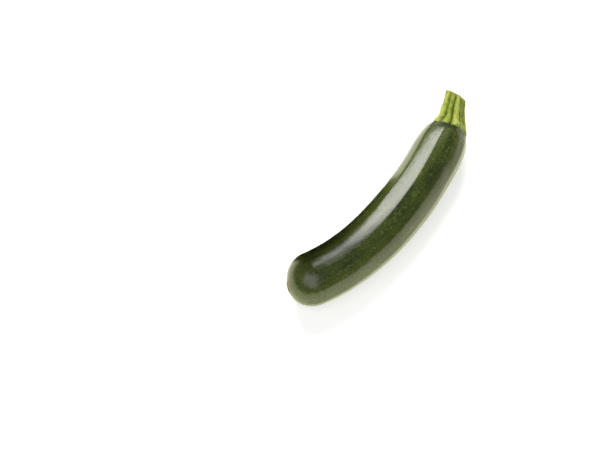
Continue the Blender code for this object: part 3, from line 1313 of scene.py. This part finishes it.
    def build_bristle_tree(self, sizes: dict[str, Value]) -> ShapeGraph:
        """Builds the tree that scatters short bristles over the side of the stem.

        Args:
            sizes: The tree's inputs.

        Returns:
            The tree's graph.
        """
        graph = ShapeGraph.maker("stem_bristles", "Stem", sizes)
        given, maths, product, ramp = graph.given, graph.maths, graph.product, graph.ramp
        distance = graph.kept(Field.DISTANCE)
        on_side = maths("GREATER_THAN", graph.kept(Field.RIM), 0.999)
        clear_of_foot = ramp(distance, 0.0008, 0.0012)
        clear_of_cut = ramp(maths("SUBTRACT", given("Stem Length"), distance), 0.0, 0.0008)
        takes_points = {
            "Mesh": given("Stem"),
            "Selection": on_side,
            "Density": product(given("Density"), clear_of_foot, clear_of_cut, graph.kept(Field.RIB)),
            "Seed": given("Seed"),
        }
        scatter = graph.add("GeometryNodeDistributePointsOnFaces", takes_points)
        cone = {
            "Vertices": 4,
            "Radius Top": product(given("Bristle Radius"), 0.15),
            "Radius Bottom": given("Bristle Radius"),
            "Depth": given("Bristle Length"),
        }
        bristle = graph.add("GeometryNodeMeshCone", cone).outputs["Mesh"]
        tilt = {0: (-0.6, -0.6, 0.0), 1: (0.6, 0.6, 6.283), "Seed": given("Seed")}
        tilted = graph.add("FunctionNodeRandomValue", tilt, data_type="FLOAT_VECTOR").outputs[0]
        by = graph.add("FunctionNodeEulerToRotation", {0: tilted}).outputs[0]
        both = {"Rotation": scatter.outputs["Rotation"], "Rotate By": by}
        turned = graph.add("FunctionNodeRotateRotation", both, rotation_space="LOCAL").outputs[0]
        lengths = {2: 0.5, 3: 1.4, "Seed": maths("ADD", given("Seed"), 1.0)}
        scale = graph.add("FunctionNodeRandomValue", lengths, data_type="FLOAT").outputs[1]
        copies = {
            "Points": scatter.outputs["Points"],
            "Instance": bristle,
            "Rotation": turned,
            "Scale": graph.joined(1.0, 1.0, scale),
        }
        graph.finish(graph.add("GeometryNodeInstanceOnPoints", copies).outputs["Instances"])
        return graph

    def build(self, rings: ShapeGraph, parts: ShaderParts, fruit: Fruit) -> list[Thing]:
        """Builds the stem and its bristles, and puts them on the frame.

        Args:
            rings: The group that sweeps rings.
            parts: The shader groups.
            fruit: The fruit that the stem stands on.

        Returns:
            The stem and its bristles.
        """
        spine = self.form.spine(fruit.spine, self.rings)
        sizes = {
            "Sides": self.sides,
            "Rings": len(spine.distances),
            "End Rings": self.end_rings,
            "Length": self.form.length,
            "Sink": self.form.sink,
            "Rib Count": float(self.form.rib_count),
            "Rib Turn": self.form.rib_turn,
            "Main Half Width": self.main_half_width,
            "Small Share": self.small_share,
            "Foot Groove Depth": self.foot_groove_depth,
            "Top Groove Depth": self.top_groove_depth,
            "Foot Swell": self.foot_swell,
            "Knob Height": self.knob_height,
            "Wander": self.wander,
            "Cut Slope": math.tan(self.form.cut_slant),
            "Material": self.finish.make(parts, self.form),
        }
        tree = self.build_tree(rings, sizes)
        stem = shaped("courgette_stem", spine.line_mesh("stem_spine"), tree, sizes)
        stem.data.set_sharp_from_angle(angle=math.radians(60.0))
        sizes = {
            "Density": self.bristles_per_square_metre,
            "Bristle Length": self.bristle_length,
            "Bristle Radius": self.bristle_radius,
            "Stem Length": self.form.length,
            "Seed": self.seed,
            "Material": self.finish.make_bristles(parts),
        }
        tree = self.build_bristle_tree(sizes)
        bristles = shaped("stem_bristles", stem.data.copy(), tree, sizes)
        for piece in (stem, bristles):
            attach(piece, ROOT_BODY)
        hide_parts("stem")
        return [stem, bristles]


# ---- The studio ----


@dataclass(frozen=True)
class Softbox:
    """A flat, even light, placed by its direction from the object.

    The bearing is 0 to the camera's right and 90 straight away from the camera, and a positive roll
    lifts the light's right end, seen from the object.
    """

    name: str
    bearing: float
    elevation: float
    distance: float
    width: float
    height: float
    brightness: float
    colour: tuple[float, float, float] = (1.0, 1.0, 1.0)
    roll: float = 0.0


@dataclass
class Studio:
    """A plain pale floor, soft lights and the camera."""

    camera_azimuth: float = math.radians(-47.6)
    camera_elevation: float = math.radians(60.0)
    camera_distance: float = 1.0516
    lens: float = 85.0
    frame_left: float = 0.0663
    frame_down: float = 0.0153
    floor_radius: float = 4.0
    floor_corners: int = 96
    floor_colour: Colour = (0.80, 0.80, 0.79, 1.0)
    floor_roughness: float = 0.6
    floor_glow: float = 0.72
    reflected_glow: float = 1.05
    reflected_colour: Colour = (0.90, 0.88, 0.52, 1.0)
    room_brightness: float = 0.12
    backdrop_brightness: float = 1.0
    flag_gap: float = 0.024
    flag_start: float = 0.034
    flag_end: float = 0.145
    flag_high: float = 0.185
    flag_low: float = 0.026
    flag_foot: float = 0.0005
    flag_colour: Colour = (0.006, 0.008, 0.004, 1.0)
    softboxes: Sequence[Softbox] = (
        Softbox("key_softbox", 103.0, 50.0, 0.9, 0.58, 0.42, 10.4, (1.0, 0.99, 0.95), 32.0),
        Softbox("fill_softbox", 250.0, 55.0, 1.6, 1.8, 1.4, 1.7),
    )

    def __post_init__(self) -> None:
        """Works out the directions that the camera's place gives."""
        a, e = self.camera_azimuth, self.camera_elevation
        self.back = Vector((math.sin(a) * math.cos(e), -math.cos(a) * math.cos(e), math.sin(e)))
        self.right = Vector((math.cos(a), math.sin(a), 0.0))
        self.above = self.back.cross(self.right)
        self.centre = (cad_box[0] + cad_box[1]) / 2.0

    def build_camera(self) -> Thing:
        """Makes the camera, which has the object right of and above the middle of its view."""
        data = bpy.data.cameras.new("camera")
        data.lens = self.lens
        camera = in_scene("camera", data)
        aim = self.centre - self.right * self.frame_left - self.above * self.frame_down
        camera.location = aim + self.back * self.camera_distance
        camera.rotation_mode = "QUATERNION"
        camera.rotation_quaternion = (-self.back).to_track_quat("-Z", "Y")
        bpy.context.scene.camera = camera
        return camera

    def build_floor(self, parts: ShaderParts) -> Thing:
        """Makes the floor, a wide disc that is lit a little from below.

        Args:
            parts: The shader groups.

        Returns:
            The floor.
        """
        material, graph, shader = new_material("floor")
        place = graph.add("ShaderNodeTexCoord").outputs["Object"]
        grain = parts.grained(graph, place, 300.0)["Mask"]
        shader.inputs["Base Color"].default_value = self.floor_colour
        rough = graph.maths("MULTIPLY_ADD", grain, 0.05, self.floor_roughness)
        graph.put(shader.inputs["Roughness"], rough)
        seen = graph.add("ShaderNodeLightPath").outputs["Is Glossy Ray"]
        tint = graph.mixed(seen, self.floor_colour, self.reflected_colour)
        graph.put(shader.inputs["Emission Color"], tint)
        glow = graph.ramp(seen, 0.0, 1.0, self.floor_glow, self.reflected_glow)
        graph.put(shader.inputs["Emission Strength"], glow)
        mesh = bpy.data.meshes.new("floor")
        corners = self.floor_corners
        angles = [2.0 * math.pi * i / corners for i in range(corners)]
        points = [(self.floor_radius * math.cos(a), self.floor_radius * math.sin(a), 0.0) for a in angles]
        mesh.from_pydata(points, [], [range(corners)])
        mesh.materials.append(material)
        floor = in_scene("floor", mesh)
        return floor

    def build_light(self, box: Softbox, name: str) -> Thing:
        """Makes one softbox, which the camera doesn't see.

        Args:
            box: Where it is, and how large and bright.
            name: The light's name.

        Returns:
            The light.
        """
        away = Vector((-self.back.x, -self.back.y, 0.0)).normalized()
        bearing, elevation = math.radians(box.bearing), math.radians(box.elevation)
        level = self.right * math.cos(bearing) + away * math.sin(bearing)
        direction = level * math.cos(elevation) + Vector(UP) * math.sin(elevation)
        data = bpy.data.lights.new(name, "AREA")
        data.shape = "RECTANGLE"
        data.size = box.width
        data.size_y = box.height
        data.energy = box.brightness * math.pi * box.width * box.height
        data.color = box.colour
        light = in_scene(name, data)
        light.location = direction * box.distance
        light.rotation_mode = "QUATERNION"
        rolled = Quaternion((0.0, 0.0, -1.0), math.radians(box.roll))
        light.rotation_quaternion = (-direction).to_track_quat("-Z", "Y") @ rolled
        light.visible_camera = False
        return light

    def build_lights(self, pieces: list[Thing], floor: Thing, flag: Thing) -> None:
        """Makes each softbox twice, so that the dark card shades the pieces and not the floor.

        Args:
            pieces: The courgette's pieces.
            floor: The floor.
            flag: The dark card.
        """
        for box in self.softboxes:
            for use, lit, shading in (("pieces", pieces, [*pieces, flag]), ("floor", [floor], pieces)):
                light = self.build_light(box, f"{box.name}_on_{use}")
                light.light_linking.receiver_collection = gathered(f"{light.name}_lit", lit)
                light.light_linking.blocker_collection = gathered(f"{light.name}_shading", shading)

    def build_room(self) -> None:
        """Makes the room: dim where it is reflected, and a pale backdrop where the camera sees it."""
        world = bpy.data.worlds.new("room")
        bpy.context.scene.world = world
        world.use_nodes = True
        graph = Graph(world.node_tree)
        background = world.node_tree.nodes["Background"]
        seen = graph.add("ShaderNodeLightPath").outputs["Is Camera Ray"]
        strength = graph.ramp(seen, 0.0, 1.0, self.room_brightness, self.backdrop_brightness)
        graph.put(background.inputs["Color"], (1.0, 1.0, 1.0, 1.0))
        graph.put(background.inputs["Strength"], strength)

    def build_flag(self, parts: ShaderParts, spine: Spine) -> Thing:
        """Makes a dark card along the hollow side of the fruit, higher towards its blossom end.

        Args:
            parts: The shader groups.
            spine: The fruit's centreline.

        Returns:
            The card, which the camera doesn't see.
        """
        material, graph, shader = new_material("flag")
        place = graph.add("ShaderNodeTexCoord").outputs["Object"]
        grain = parts.grained(graph, place, 400.0)["Mask"]
        graph.put(shader.inputs["Base Color"], self.flag_colour)
        graph.put(shader.inputs["Roughness"], graph.maths("MULTIPLY_ADD", grain, 0.05, 0.9))
        lefts = axes_at(spine.alongs)[:, :, 1]
        length = self.flag_end - self.flag_start
        shares = np.clip((spine.distances - self.flag_start) / length, 0.0, 1.0)
        rows = [i for i in range(0, len(shares), 6) if spine.distances[i] <= self.flag_end]
        feet = spine.centres + lefts * (spine.radii.max() + self.flag_gap)
        tops = blended(self.flag_high, self.flag_low, shares)
        low = [(feet[i, 0], feet[i, 1], self.flag_foot) for i in rows]
        high = [(feet[i, 0], feet[i, 1], tops[i]) for i in rows]
        count = len(rows)
        faces = [(i, i + 1, count + i + 1, count + i) for i in range(count - 1)]
        mesh = bpy.data.meshes.new("flag")
        mesh.from_pydata(low + high, [], faces)
        mesh.materials.append(material)
        flag = in_scene("flag", mesh)
        flag.visible_camera = False
        return flag

    def build(self, parts: ShaderParts, spine: Spine, pieces: list[Thing]) -> None:
        """Builds the whole studio.

        Args:
            parts: The shader groups.
            spine: The fruit's centreline.
            pieces: The courgette's pieces.
        """
        self.build_lights(pieces, self.build_floor(parts), self.build_flag(parts, spine))
        self.build_room()
        self.build_camera()
        bpy.context.scene.view_settings.view_transform = "Standard"


def gathered(name: str, things: Iterable[Thing]) -> bpy.types.Collection:
    """Returns a new collection of objects, which only a light's linking uses."""
    collection = bpy.data.collections.new(name)
    for thing in things:
        collection.objects.link(thing)
    return collection


def write_sizes() -> None:
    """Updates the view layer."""
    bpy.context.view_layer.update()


def report(piece: Thing) -> None:
    """Logs a finished piece's name, size and number of faces."""
    size = " x ".join(f"{side / MM:.1f}" for side in piece.dimensions)
    log.info("%s: %d faces, %s mm", piece.name, len(piece.data.polygons), size)


def main() -> None:
    """Builds the studio, the fruit and the stem."""
    logging.basicConfig(level=logging.INFO, format="%(name)s: %(message)s")
    parts = ShaderParts.build()
    rings = swept_rings()
    fruit = Fruit()
    pieces = [fruit.build(rings, parts), *Stem().build(rings, parts, fruit)]
    Studio().build(parts, fruit.spine, pieces)
    for piece in pieces:
        report(piece)
    write_sizes()


if __name__ == "__main__":
    main()
